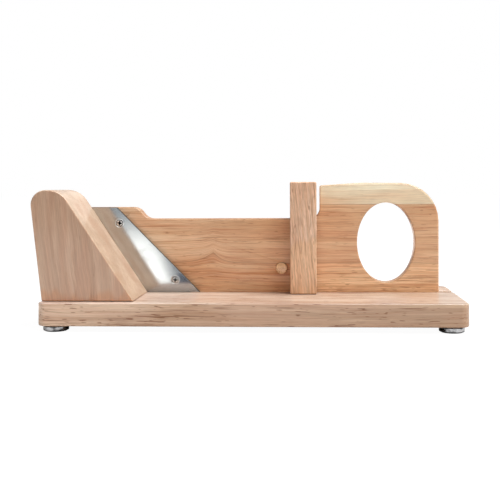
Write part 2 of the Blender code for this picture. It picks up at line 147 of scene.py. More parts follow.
class Graph:
    """The node graph of one material or world."""

    def __init__(self, owner: Look | bpy.types.World) -> None:
        """Empties a graph.

        Args:
            owner: What it belongs to.
        """
        owner.use_nodes = True
        self.tree = owner.node_tree
        self.tree.nodes.clear()

    def node(
        self,
        kind: str,
        inputs: dict[str | int, Sock | Value] | None = None,
        output: str | int = 0,
        **settings: object,
    ) -> Sock:
        """Adds a node.

        Args:
            kind: The node's type, without the words that all types begin with.
            inputs: Values or links, by the socket's name or number.
            output: The output that is wanted.
            **settings: Its properties, which are set first.

        Returns:
            That output.
        """
        made = self.tree.nodes.new("ShaderNode" + kind)
        for name, value in settings.items():
            setattr(made, name, value)
        for key, value in (inputs or {}).items():
            if isinstance(value, Sock):
                self.tree.links.new(value.link, made.inputs[key])
            else:
                made.inputs[key].default_value = value
        return Sock(self, made.outputs[output] if made.outputs else None)

    def math(self, operation: str, *values: Level) -> Sock:
        """Adds a Math node on the given values."""
        return self.node("Math", dict(enumerate(values)), operation=operation)

    def split(self, vector: Sock) -> tuple[Sock, Sock, Sock]:
        """The three values of a vector."""
        first = self.node("SeparateXYZ", {0: vector})
        return tuple(Sock(self, output) for output in first.link.node.outputs)

    def ray(self, kind: str) -> Sock:
        """1 for rays of a kind, such as "Camera", else 0."""
        return self.node("LightPath", output=f"Is {kind} Ray")

    def ramp(self, stops: Stops, place: Sock) -> Sock:
        """Blends colours between stops.

        Args:
            stops: Each stop's position, from 0 to 1, and its colour.
            place: The place between them, from 0 to 1.

        Returns:
            The colour at the place.
        """
        blend = self.node("ValToRGB", {0: place})
        elements = blend.link.node.color_ramp.elements
        while len(elements) < len(stops):
            elements.new(1.0)
        for element, (position, colour) in zip(elements, stops):
            element.position = position
            element.color = (*colour, 1.0)
        return blend

    def mix(self, factor: Level, a: Sock | Colour, b: Sock | Colour, blend: str = "MIX") -> Sock:
        """Mixes two colours.

        Args:
            factor: Share of the second colour.
            a: The first colour.
            b: The second colour.
            blend: The way that they mix.

        Returns:
            The mixed colour.
        """
        sides = [side if isinstance(side, Sock) else (*side, 1.0) for side in (a, b)]
        inputs = {0: factor, 6: sides[0], 7: sides[1]}
        return self.node("Mix", inputs, 2, data_type="RGBA", blend_type=blend)

    def tint(self, colour: Sock, tone: Sock | Colour) -> Sock:
        """A colour times a tone."""
        return self.mix(1.0, colour, tone, "MULTIPLY")

    def place_mm(self) -> tuple[Sock, Sock, Sock]:
        """Object coordinates in millimetres, as three values."""
        inputs = {0: self.node("TexCoord", output="Object"), "Scale": 1 / MM}
        return self.split(self.node("VectorMath", inputs, operation="SCALE"))

    def bump(self, height: Sock, relief: float, strength: float) -> Sock:
        """A normal bent by a height, whose full range is the relief in millimetres."""
        inputs = {"Strength": strength, "Distance": relief * MM, "Height": height}
        return self.node("Bump", inputs)

    def surface(self, **sockets: Sock | Value) -> None:
        """Ends a material in a Principled shader.

        Args:
            **sockets: Values or links by the socket's name, with _ for a space.
        """
        inputs = {name.replace("_", " "): value for name, value in sockets.items()}
        shader = self.node("BsdfPrincipled", inputs)
        self.node("OutputMaterial", {"Surface": shader})


@dataclass(frozen=True)
class Pattern:
    """Smooth noise whose features have a size in millimetres along each of three ways."""

    sizes: Triple
    detail: float
    roughness: float

    def at(self, *place: Sock) -> Sock:
        """Makes the noise.

        Args:
            *place: Place along the three ways in millimetres.

        Returns:
            The noise there, from about 0.2 to 0.8.
        """
        graph = place[0].graph
        scaled = dict(enumerate(value / size for value, size in zip(place, self.sizes)))
        inputs = {"Vector": graph.node("CombineXYZ", scaled), "Scale": 1.0}
        inputs |= {"Detail": self.detail, "Roughness": self.roughness}
        return graph.node("TexNoise", inputs, noise_dimensions="3D")


# Sizes of the wood's patterns along the fibres, through the board and across the rings
FIBRES = Pattern((26.0, 0.8, 0.55), 2.0, 0.55)
FLECKS = Pattern((8.0, 3.0, 1.1), 1.5, 0.6)
CLOUDS = Pattern((110.0, 24.0, 13.0), 1.0, 0.5)
SHORT_PORES = Pattern((8.0, 0.9, 0.95), 0.0, 0.5)
LONG_PORES = Pattern((30.0, 0.9, 0.8), 1.0, 0.4)
PORE_CROWDS = Pattern((60.0, 7.0, 4.5), 1.0, 0.5)
SWAY = Pattern((110.0, 50.0, 60.0), 2.0, 0.45)
RIPPLE = Pattern((17.0, 12.0, 12.0), 1.0, 0.5)

# Sizes of the other finishes' patterns along X, Y and Z
SCRATCHES = Pattern((9.0, 0.3, 0.16), 2.0, 0.6)
RUBBER_GRAIN = Pattern((0.35, 0.35, 0.35), 2.0, 0.6)
RUBBER_DUST = Pattern((5.0, 5.0, 5.0), 2.0, 0.5)

PLAIN = (1.0, 1.0, 1.0)

# Values from which the wood's figure begins to show, and shows fully
RING_STEP = (0.38, 0.62)
LINE_STEP = (0.5, 0.64)
WARM_STEP = (0.42, 0.66)
PORE_STEP = (0.87, 0.95)
# RISE_STEP marks faces that look up, for the wood's painted light and shade
RISE_STEP = (0.2, 0.5)

# Factors on the rings' colour for what is darker
LINE_STAIN = (0.75, 0.4, 0.16)
PORE_STAIN = (0.42, 0.25, 0.16)
GLUE_STAIN = (0.42, 0.42, 0.42)

# Millimetres from a glue line where it is gone and full, and those by which the dark at a
# board's foot fades and strays
GLUE_EDGE = (0.5, 0.15)
LOW_FADE = 8.0
LOW_STRAY = 30.0


@dataclass(frozen=True)
class Finish:
    """What a piece is made of, under its material's name."""

    name: str

    def material(self) -> Look:
        """Makes the material.

        Returns:
            A new material with this finish.
        """
        made = bpy.data.materials.new(self.name)
        self.fill(Graph(made))
        return made

    def fill(self, graph: Graph) -> None:
        """Fills a new material's graph.

        Args:
            graph: The graph.
        """
        raise NotImplementedError


class Grain(Enum):
    """How a board's fibres run: which axes go along them, across the face and through it."""

    ALONG = (0, 2, 1)
    THROUGH = (1, 2, 0)
    UPRIGHT = (2, 0, 1)


@dataclass(frozen=True)
class Peak:
    """A place where the growth rings rise to a point on a board's face, in millimetres.

    Attributes:
        x: Where its tip is along X.
        z: Level of the rings beside it.
        height: How far the tip stands above them.
        left: Width of its left side.
        right: Width of its right side.
        reach: How far above and below it the rings still follow.
        blunt: How blunt its tip is, as an area.
        gain: What gives back the height that the blunt tip loses.
    """

    x: float
    z: float
    height: float
    left: float
    right: float
    reach: float
    blunt: float = 1.5
    gain: float = 1.1

    def rise(self, x: Sock) -> Sock:
        """How far the rings at the peak's own level rise.

        Args:
            x: Place along X.

        Returns:
            The rise.
        """
        away = x - self.x
        width = (away > 0.0) * (self.right - self.left) + self.left
        distance = x.graph.math("SQRT", away * away + self.blunt)
        fall = x.graph.math("POWER", math.e, -1.0 * distance / width)
        return fall * (self.height * self.gain)

    def bend(self, x: Sock, z: Sock) -> Sock:
        """How far the rings rise at a place on the board's face.

        Args:
            x: Place along X.
            z: Height.

        Returns:
            The rise.
        """
        rise = self.rise(x)
        return rise * x.graph.math("POWER", math.e, -1.0 * abs(z - rise - self.z) / self.reach)


@dataclass(frozen=True)
class Figure:
    """The patterns of a piece of wood, each from 0 to 1. Clouds are its broad noise."""

    rings: Sock
    lines: Sock
    fibres: Sock
    flecks: Sock
    clouds: Sock
    pores: Sock


@dataclass(frozen=True)
class Wood(Finish):
    """Oiled pale hardwood with short dark pores. Its lengths are in millimetres.

    Attributes:
        grain: The way that the fibres run.
        early: Colour between the rings.
        late: Colour of the rings.
        warm: Colour of the broad reddish streaks.
        offset: Where in the pattern the board was cut.
        stave_step: How far apart two staves were cut, along and through.
        joints: Heights of the glue lines, lowest first.
        stave_tones_and_shade: Each stave's factors on red, green and blue at places along X, for
            its own tone and for painted shade.
        calm: Number of the first stave that has few pores.
        ring_gap: Distance between growth rings.
        ring_depth: How strongly the rings show.
        line_gap: Distance between the fine lines.
        line_depth: How strongly the fine lines show.
        fleck_depth: How strongly the short wavy flecks show.
        pore_depth: How dark the pores are.
        glue_depth: How dark the glue lines are.
        slant: How far the fibres stray from the grain's way, per length.
        sway: How far the rings wander.
        ripple: How far they ripple.
        peaks: Pointed figures in the rings.
        drift: Loss of red, green and blue over each 100 mm along X.
        painted_top_shading: Factors on red, green and blue where the face looks up: painted light
            and shade.
        low: Height to which the wood is darker, and the factors there.
        oil: Strength of the oil's gloss.
        roughness: Mean roughness under the oil.
        relief: How deep the pores and the glue lines are.
    """

    grain: Grain
    early: Colour
    late: Colour
    warm: Colour
    offset: Triple = (0.0, 0.0, 0.0)
    stave_step: Pair = (173.0, 41.0)
    joints: tuple[float, ...] = ()
    stave_tones_and_shade: tuple[Stops, ...] = ()
    calm: int | None = None
    ring_gap: float = 6.0
    ring_depth: float = 0.5
    line_gap: float = 1.25
    line_depth: float = 0.25
    fleck_depth: float = 0.05
    pore_depth: float = 0.55
    glue_depth: float = 0.4
    slant: float = 0.0
    sway: float = 7.0
    ripple: float = 1.2
    peaks: tuple[Peak, ...] = ()
    drift: Colour | None = None
    painted_top_shading: Colour | None = None
    low: tuple[float, Colour] | None = None
    oil: float = 0.7
    roughness: float = 0.5
    relief: float = 0.12

    def stain(self, factors: Colour) -> Colour:
        """The rings' colour times factors on red, green and blue."""
        return tuple(part * factor for part, factor in zip(self.late, factors))

    def fill(self, graph: Graph) -> None:
        """Fills a new material's graph with the wood."""
        x, y, z = graph.place_mm()
        stave, joint, tint = self._staves(x, z)
        figure = self._figure((x, y, z), stave)
        colour = self._shade(self._colour(figure), x, z, figure.clouds)
        height = figure.fibres * 0.5 - figure.pores * 0.8
        if joint is not None:
            colour = graph.tint(colour, tint)
            colour = graph.mix(joint * self.glue_depth, colour, self.stain(GLUE_STAIN))
            height = height - joint
        graph.surface(
            Base_Color=colour,
            Roughness=self.roughness - 0.08 + figure.fibres * 0.16 + figure.pores * 0.2,
            Specular_IOR_Level=0.3,
            Coat_Weight=self.oil - figure.pores * self.oil * 0.6,
            Coat_Roughness=0.12,
            Coat_IOR=1.65,
            Normal=graph.bump(height, self.relief, 0.55),
        )

    def _figure(self, place: tuple[Sock, Sock, Sock], stave: Level) -> Figure:
        """Works out the wood's patterns.

        Args:
            place: X, Y and Z.
            stave: The stave's number.

        Returns:
            The patterns.
        """
        along, across, thick = (place[axis] for axis in self.grain.value)
        along = along + self.offset[0] + stave * self.stave_step[0]
        thick = thick + self.offset[2] + stave * self.stave_step[1]
        rings_at = self._ring_height(along, across, thick)
        for peak in self.peaks:
            rings_at = rings_at - peak.bend(place[0], place[2])
        level = across + (rings_at - across) * 0.3

        bands = Pattern((300.0, 34.0, self.ring_gap), 3.0, 0.6).at(along, thick, rings_at)
        lines = Pattern((60.0, 9.0, self.line_gap), 2.0, 0.6).at(along, thick, rings_at)
        short = SHORT_PORES.at(along, thick, level)
        long = LONG_PORES.at(along, thick, level)
        crowd = PORE_CROWDS.at(along, thick, level)
        pores = level.graph.math("MAXIMUM", short + crowd * 0.3, long + crowd * 0.45)
        pores = pores.between(*PORE_STEP)
        if self.calm is not None:
            busy = 1.0 - (stave > self.calm - 0.5) * 0.75
            pores, lines = pores * busy, lines * (busy * 0.2 + 0.8)
        return Figure(
            rings=bands.between(*RING_STEP),
            lines=lines.between(*LINE_STEP),
            fibres=FIBRES.at(along, thick, rings_at),
            flecks=FLECKS.at(along, thick, rings_at),
            clouds=CLOUDS.at(along, thick, across),
            pores=pores,
        )

    def _colour(self, figure: Figure) -> Sock:
        """Paints the patterns.

        Args:
            figure: The patterns.

        Returns:
            The colour that they make together.
        """
        graph = figure.rings.graph
        colour = graph.mix(figure.rings * self.ring_depth, self.early, self.late)
        colour = graph.mix(figure.clouds.between(*WARM_STEP) * 0.6, colour, self.warm)
        colour = graph.mix(figure.lines * self.line_depth, colour, self.stain(LINE_STAIN))
        colour = graph.tint(colour, self._spread(figure.fibres, 0.87, 1.14))
        low, high = 1 - self.fleck_depth, 1 + self.fleck_depth
        colour = graph.tint(colour, self._spread(figure.flecks, low, high))
        return graph.mix(figure.pores * self.pore_depth, colour, self.stain(PORE_STAIN))

    def _shade(self, colour: Sock, x: Sock, z: Sock, clouds: Sock) -> Sock:
        """Gives a colour the changes that run over the whole board, and painted light and shade
        where its faces look up.

        Args:
            colour: The colour so far.
            x: Place along X.
            z: Height.
            clouds: The broad noise.

        Returns:
            The changed colour.
        """
        graph = colour.graph
        if self.drift:
            parts = {i: 1.0 - x * (loss / 100) for i, loss in enumerate(self.drift)}
            colour = graph.tint(colour, graph.node("CombineColor", parts))
        painted_top_mask: Level = 0.0
        # Painted light and shade on faces that look up: paler tops on the base and the block's
        # slant, darker rims on the slider
        if self.painted_top_shading:
            rise = graph.node("Attribute", output="Fac", attribute_name=RISE)
            painted_top_mask = rise.between(*RISE_STEP)
            colour = graph.tint(colour, graph.mix(painted_top_mask, PLAIN, self.painted_top_shading))
        if self.low:
            height, shade = self.low
            sunk = (z + (clouds - 0.5) * LOW_STRAY).between(height, height - LOW_FADE)
            colour = graph.tint(colour, graph.mix(sunk * (1.0 - painted_top_mask), PLAIN, shade))
        return colour

    @staticmethod
    def _spread(value: Sock, low: float, high: float) -> Sock:
        """Spreads a noise, mostly from 0.25 to 0.75, over levels from low to high."""
        slope = (high - low) / 0.5
        return value * slope + (low - 0.25 * slope)

    def _staves(self, x: Sock, z: Sock) -> tuple[Level, Sock | None, Sock | None]:
        """Tells the glued staves apart. A peak on a joint bends the joint's line too.

        Args:
            x: Place along X.
            z: Height.

        Returns:
            The stave's number, how near the next glue line is, and the stave's tint.
        """
        number: Level = 0.0
        near: Sock | None = None
        tint: Sock | None = None
        for level, height in enumerate(self.joints):
            over = z - height
            for peak in self.peaks:
                if peak.z == height:
                    over = over - peak.rise(x)
            above = over > 0.0
            number = above + number
            close = abs(over).between(*GLUE_EDGE)
            near = close if near is None else near + close
            below = self._along(x, self.stave_tones_and_shade[0]) if tint is None else tint
            tint = x.graph.mix(above, below, self._along(x, self.stave_tones_and_shade[level + 1]))
        return number, near, tint

    @staticmethod
    def _along(x: Sock, stave_tones_and_shade: Stops) -> Sock:
        """One stave's tint at a place along X."""
        stops = tuple((place / TINT_SPAN + 0.5, tint) for place, tint in stave_tones_and_shade)
        return x.graph.ramp(stops, x / TINT_SPAN + 0.5)

    def _ring_height(self, along: Sock, across: Sock, thick: Sock) -> Sock:
        """The height by which growth rings are told apart, bent as the tree grew.

        Args:
            along: Distance along the fibres.
            across: Distance across them, over the board's face.
            thick: Distance through the board.

        Returns:
            The bent distance across.
        """
        sway = SWAY.at(along, thick, across) - 0.5
        ripple = RIPPLE.at(along, thick, across) - 0.5
        height = across + self.offset[1] + sway * self.sway + ripple * self.ripple
        if self.slant:
            height = height + along * self.slant
        return height


@dataclass(frozen=True)
class Edge:
    """The slanted cutting edge of a blade, in millimetres, with the shade painted along it.

    Attributes:
        tip_x: Where its tip is along X.
        tip_z: Height of its tip, at the blade's bottom.
        run: How far it runs back along X.
        height: How far it rises, to the blade's top.
        line: Distances from the edge at which its painted dark line, for shadow and dark
            reflections, is full and gone.
        band: Height of the band of painted dark reflection along the blade's bottom.
        band_depth: How dark that painted reflection is.
    """

    tip_x: float
    tip_z: float
    run: float
    height: float
    line: Pair = (0.55, 1.1)
    band: float = 8.0
    band_depth: float = 0.5

    def darkening(self, x: Sock, z: Sock) -> Sock:
        """How much painted shade the blade gets: shadow and dark reflections along its edge and
        its top, and a darker band along its bottom.

        Args:
            x: Place along X.
            z: Height.

        Returns:
            The darkness, from 0 to 1.
        """
        length = math.hypot(self.run, self.height)
        inside = ((self.tip_x - x) * self.height - (z - self.tip_z) * self.run) / length
        full, gone = self.line
        low = (z - self.tip_z).between(self.band, 0.0) * self.band_depth
        top = (z - (self.tip_z + self.height)).between(-0.5, -0.2)
        painted_shade = x.graph.math("MAXIMUM", inside.between(gone, full) + low, top)
        return x.graph.math("MINIMUM", painted_shade, 1.0)


@dataclass(frozen=True)
class Steel(Finish):
    """Polished or brushed steel.

    Attributes:
        colour: Its colour where it shines straight back.
        roughness: Mean roughness.
        brush: How strongly the fine scratches along X show.
        relief: Depth of the scratches, in millimetres.
        smears_and_painted_reflections: Size of the smears in millimetres, how strongly they show,
            and their shade. On the feet they are strong and dark enough to be painted reflections.
        edge: Its cutting edge, if it has one, along which shade is painted.
    """

    colour: Colour
    roughness: float
    brush: float = 0.04
    relief: float = 0.002
    smears_and_painted_reflections: Triple = (14.0, 0.16, 0.8)
    edge: Edge | None = None

    def fill(self, graph: Graph) -> None:
        """Fills a new material's graph with the steel."""
        x, y, z = graph.place_mm()
        scratches = SCRATCHES.at(x, y, z)
        size, strength, shade = self.smears_and_painted_reflections
        # Smears; on the feet they are painted dark reflections on the chrome
        smear_and_reflection_noise = Pattern((size, size, 0.65 * size), 2.0, 0.5).at(x, y, z)
        darkening = smear_and_reflection_noise.between(0.42, 0.7)
        colour = graph.mix(darkening * strength, self.colour, tuple(shade * c for c in self.colour))
        roughness = self.roughness + (scratches - 0.5) * self.brush + darkening * 0.035
        if self.edge:
            # Painted shade: shadow and dark reflections along the blade's edge, top and bottom
            painted_shade = self.edge.darkening(x, z)
            colour = graph.mix(painted_shade * 0.85, colour, PAINTED_EDGE_SHADE)
            roughness = roughness + painted_shade * 0.3
        graph.surface(
            Base_Color=colour,
            Metallic=1.0,
            Roughness=roughness,
            Normal=graph.bump(scratches, self.relief, 0.6),
        )


@dataclass(frozen=True)
class Rubber(Finish):
    """Matt black rubber with a fine grain, whose relief is in millimetres."""

    name: str = "foot_rubber"
    colour: Colour = from_hex("262626")
    dust: Colour = from_hex("4a4846")
    relief: float = 0.03

    def fill(self, graph: Graph) -> None:
        """Fills a new material's graph with the rubber."""
        place = graph.place_mm()
        grain = RUBBER_GRAIN.at(*place)
        dusty = RUBBER_DUST.at(*place).between(0.45, 0.75)
        graph.surface(
            Base_Color=graph.mix(dusty * 0.35, self.colour, self.dust),
            Roughness=0.72 + (grain - 0.5) * 0.3,
            Normal=graph.bump(grain, self.relief, 0.6),
        )


BASE_WOOD = Wood(
    "base_wood", Grain.ALONG, early=from_hex("d5b497"), late=from_hex("af896b"),
    warm=from_hex("c1987c"), offset=(40.0, 12.0, 5.0), ring_gap=4.0, ring_depth=0.8,
    # Its top is painted paler: painted light and sheen
    pore_depth=0.75, sway=4.5, drift=(0.09, 0.105, 0.13), painted_top_shading=(0.89, 1.03, 1.23), oil=0.4,
)
BLOCK_WOOD = Wood(
    "block_wood", Grain.UPRIGHT, early=from_hex("c9a58a"), late=from_hex("ad886c"),
    warm=from_hex("b78a6d"), offset=(20.0, -60.0, 31.0), ring_gap=12.0, ring_depth=0.6,
    line_gap=3.2, line_depth=0.1, fleck_depth=0.04, pore_depth=0.15, slant=0.10, sway=14.0,
    # Its slant is painted paler: painted light
    painted_top_shading=(0.96, 1.08, 1.13), low=(36.0, (1.0, 0.84, 0.7)), oil=0.5,
)
SLIDER_WOOD = Wood(
    "slider_wood", Grain.ALONG, early=from_hex("dcb690"), late=from_hex("bc8a60"),
    warm=from_hex("cc9870"), offset=(0.0, 3.0, 17.0), joints=(52.8, 108.0),
    # Beside the gate, at 28 to 38 mm in the lowest stave and at 30 mm in the middle one, the stops
    # paint the gate's shade, darker and redder, over the wood's own red
    stave_tones_and_shade=(
        (
            (-5.0, (0.94, 0.88, 0.83)), (28.0, (1.0, 0.79, 0.62)),
            (38.0, (1.0, 0.79, 0.62)), (60.0, (1.14, 1.14, 1.1)),
        ),
        (
            (-90.0, (1.12, 1.17, 1.25)), (-45.0, (1.03, 1.04, 1.07)),
            (-5.0, (0.95, 0.92, 0.89)), (30.0, (1.1, 0.98, 0.88)), (60.0, (0.98, 0.95, 0.92)),
        ),
        ((70.0, (1.18, 1.52, 1.8)), (120.0, (1.26, 1.75, 2.2))),
    ),
    calm=2, ring_depth=0.54, line_gap=0.95, line_depth=0.42, pore_depth=0.42, sway=5.0,
    peaks=(Peak(-36.5, 52.8, 9.8, 12.0, 7.0, 10.5),), drift=(-0.01, 0.005, 0.01),
    # Its rims and top edges are painted darker: painted shade against the lamps' light
    painted_top_shading=(0.6, 0.52, 0.45), oil=0.25,
)
GATE_WOOD = Wood(
    "gate_wood", Grain.UPRIGHT, early=from_hex("e0bc9f"), late=from_hex("bb906f"),
    warm=from_hex("d1a282"), offset=(11.0, 44.0, 3.0), ring_gap=3.0, line_gap=1.3, line_depth=0.34,
    fleck_depth=0.2, pore_depth=0.45, slant=0.12, sway=10.0, low=(76.0, (1.0, 0.95, 0.85)),
    oil=0.25,
)
DOWEL_WOOD = Wood(
    "dowel_wood", Grain.THROUGH, early=from_hex("f4c896"), late=from_hex("d6a470"),
    warm=from_hex("e6b37c"), offset=(7.0, 5.0, 60.0), ring_gap=3.0,
)
# Colour of the shade painted along the blade's edge, top and bottom
PAINTED_EDGE_SHADE = from_hex("3a3632")
BLADE_STEEL = Steel("blade_steel", from_hex("c8cac9"), 0.11)
SHIM_STEEL = Steel("shim_steel", from_hex("b4b6b8"), 0.3, 0.1)
SCREW_STEEL = Steel("screw_steel", from_hex("f6f5f3"), 0.34, 0.06)
# Painted shade inside the screws' recesses and the grooves by their rims
RECESS_SHADE = Steel("recess_painted_shade", from_hex("2b2927"), 0.6, 0.1)
# The feet's smears are painted dark reflections on the chrome
FOOT_STEEL = Steel("foot_steel", from_hex("b0b0b2"), 0.1, 0.03, smears_and_painted_reflections=(5.0, 1.0, 0.12))

STRAIGHT = 0.9
WELD = 0.002 * MM
SAME_LEVEL = 0.01 * MM

# A screw's head from its rim inwards: the width of each ring as a share of the radius, and how
# far it steps out, as shares of the dome and of the groove's depth
HEAD_RINGS = (
    (0.12, 0.65, 0.0), (0.04, 0.0, -1.0), (0.13, 0.0, 0.0), (0.04, 0.0, 1.0),
    (0.06, 0.15, 0.0), (0.2, 0.12, 0.0), (0.22, 0.08, 0.0),
)
GROOVE_BAND = (0.675, 0.875)

# A foot's rubber from its rim inwards: each step's width and rise in millimetres, and its scale
RUBBER_RINGS = ((0.4, 0.0, 1.0), (1.0, 0.35, 0.97), (0.5, -0.35, 0.97), (1.7, 1.6, 1.0))

# What mirrors see on the floor, in millimetres: far in front, near, and a slanted dark strip
# by where it starts, is full, ends and is gone
FAR_FLOOR = (0.36, 0.40, 0.44)
NEAR_FLOOR = (2.35, 2.33, 2.28)
FAR_TO_NEAR = (-2600.0, -600.0)
STRIP = (0.03, 0.05, 0.1)
STRIP_SLANT = 0.21
STRIP_EDGES = (-73.0, -57.0, -9.0, 19.0)

# Half sizes of the ellipse of plain paper that mirrors see, and where its edge fades
PAPER_SIZE = (215.0, 110.0)
PAPER_EDGE = (0.9, 1.6)

# What mirrors see of the room, by height, in front of the object and behind it
FRONT_ROOM = (
    (0.0, (0.34, 0.38, 0.42)), (0.12, (0.12, 0.14, 0.18)),
    (0.3, (0.2, 0.23, 0.27)), (0.7, (1.4, 1.4, 1.4)),
)
BACK_ROOM = ((0.0, (0.55, 0.55, 0.55)), (0.16, (0.6, 0.6, 0.6)), (0.4, (1.2, 1.2, 1.2)))


class Kind(Enum):
    """What a selection is made of."""

    FACES = "FACE"
    EDGES = "EDGE"


class Axis(Enum):
    """The way that a screw's point goes, as the number of an axis."""

    BACK = 1
    UP = 2


def only(piece: Piece) -> None:
    """Makes a piece the one that operators act on.

    Args:
        piece: The object.
    """
    bpy.ops.object.select_all(action="DESELECT")
    piece.select_set(True)
    bpy.context.view_layer.objects.active = piece


def pick(
    piece: Piece,
    wanted: Callable[[bmesh.types.BMFace | bmesh.types.BMEdge], bool],
    kind: Kind = Kind.FACES,
) -> None:
    """Selects, in edit mode, what a test accepts and nothing else.

    Args:
        piece: The object in edit mode.
        wanted: The test.
        kind: Whether it is put to the faces or to the edges.
    """
    bpy.ops.mesh.select_mode(type=kind.value)
    bpy.ops.mesh.select_all(action="DESELECT")
    bm = bmesh.from_edit_mesh(piece.data)
    for item in bm.faces if kind is Kind.FACES else bm.edges:
        if wanted(item):
            item.select = True
    bm.select_flush_mode()
    bmesh.update_edit_mesh(piece.data)


def looks_up(face: bmesh.types.BMFace) -> bool:
    """Whether a face looks straight up."""
    return face.normal.z > STRAIGHT


def looks_down(face: bmesh.types.BMFace) -> bool:
    """Whether a face looks straight down."""
    return face.normal.z < -STRAIGHT


def raise_faces(depth: float, scale: float = 1.0) -> None:
    """Extrudes the selected faces along Z.

    Args:
        depth: How far.
        scale: Size of their new end, measured from the Z axis.
    """
    bpy.ops.mesh.extrude_region_move(TRANSFORM_OT_translate={"value": (0.0, 0.0, depth)})
    if scale != 1.0:
        bpy.ops.transform.resize(value=(scale, scale, 1.0), center_override=(0.0, 0.0, 0.0))


def cylinder(name: str, radius: float, foot: float, height: float, corners: int) -> Piece:
    """Adds an upright cylinder round the Z axis.

    Args:
        name: Its name.
        radius: Its radius.
        foot: Height of its lower end.
        height: Its own height.
        corners: Corners all round.

    Returns:
        The new piece.
    """
    bpy.ops.object.select_all(action="DESELECT")
    bpy.ops.mesh.primitive_cylinder_add(
        vertices=corners, radius=radius, depth=height, location=(0, 0, foot + height / 2)
    )
    piece = bpy.context.object
    piece.name = piece.data.name = name
    bpy.ops.object.transform_apply(location=True)
    return piece


def settle(piece: Piece, place: Sequence[float], axis: Sequence[float]) -> None:
    """Turns a piece made along Z at the origin to an axis, moves it, and applies both.

    Args:
        piece: The object.
        place: Where its origin goes.
        axis: Where its +Z goes.
    """
    only(piece)
    piece.rotation_mode = "QUATERNION"
    piece.rotation_quaternion = Vector(axis).to_track_quat("Z", "Y")
    piece.location = place
    bpy.ops.object.transform_apply(location=True, rotation=True, scale=True)


def dress(piece: Piece, look: Look) -> None:
    """Gives a piece one material and no other.

    Args:
        piece: The object.
        look: The material.
    """
    piece.data.materials.clear()
    piece.data.materials.append(look)
    piece.data.polygons.foreach_set("material_index", [0] * len(piece.data.polygons))


def take_part(piece: Piece, body: str, node: str) -> None:
    """Makes a piece stand for a node of the model and reports it.

    Args:
        piece: The object.
        body: The body that it rides on.
        node: The node that it replaces.
    """
    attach(piece, body)
    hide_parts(node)
    log.info("%s stands for %s on %s", piece.name, node, body)


def soften(piece: Piece, angle: float) -> None:
    """Shades a piece smooth, with its large faces left flat.

    Args:
        piece: The object.
        angle: Sharpest angle, in degrees, that is still drawn round.
    """
    only(piece)
    bpy.ops.object.shade_smooth_by_angle(angle=math.radians(angle))
    modifier = piece.modifiers.new("Flat faces", "WEIGHTED_NORMAL")
    modifier.weight = 90
    modifier.keep_sharp = True
    bpy.ops.object.modifier_apply(modifier=modifier.name)


@dataclass(frozen=True)
class Skin:
    """The look of one solid of the model, as a copy that is smooth up to an angle."""

    node: str
    name: str
    slot: str
    finish: Finish
    angle: float = 32.0
    rises: bool = False

    def build(self, body: str) -> None:
        """Builds and dresses the piece.

        Args:
            body: The body that it rides on.
        """
        piece = self._copy()
        # The stored rise places the wood's painted light and shade on faces that look up
        if self.rises:
            rises = piece.data.attributes.new(RISE, "FLOAT", "CORNER")
            ups = [corner.vector.z for corner in piece.data.corner_normals]
            rises.data.foreach_set("value", ups)
        dress(piece, self.finish.material())
        take_part(piece, body, self.node)

    def _copy(self) -> Piece:
        """Copies the solid, joins its loose triangles and smooths its curves.

        Returns:
            The new piece.
        """
        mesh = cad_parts[self.node].data.copy()
        mesh.name = self.name
        piece = bpy.data.objects.new(self.name, mesh)
        bpy.context.scene.collection.objects.link(piece)
        only(piece)
        bpy.ops.object.mode_set(mode="EDIT")
        bpy.ops.mesh.select_all(action="SELECT")
        bpy.ops.mesh.remove_doubles(threshold=WELD)
        bpy.ops.object.mode_set(mode="OBJECT")
        soften(piece, self.angle)
        return piece


